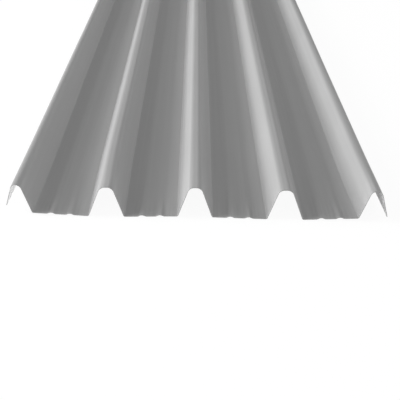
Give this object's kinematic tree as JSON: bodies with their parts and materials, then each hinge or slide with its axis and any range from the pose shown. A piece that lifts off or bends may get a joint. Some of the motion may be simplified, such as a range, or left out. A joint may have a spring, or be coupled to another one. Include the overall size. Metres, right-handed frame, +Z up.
{
  "type": "roofing sheet",
  "caption": "Long one-piece plastic roofing sheet with upstanding box ribs, wide flat pans between them, small beads along each pan and a downturned leg at both edges",
  "frame": {"origin": "centre of the bounding box in plan, on the plane that the pans rest on", "axes": "+Y along the ribs, +X across the width, +Z up out of the crowns of the ribs"},
  "size_m": [0.7252, 2.4, 0.0612],
  "materials": {
    "sheet_plastic": "satin light grey PVC, pale on the underside"
  },
  "bodies": {
    "root": {"roofing_sheet": "sheet_plastic"}
  },
  "joints": []
}
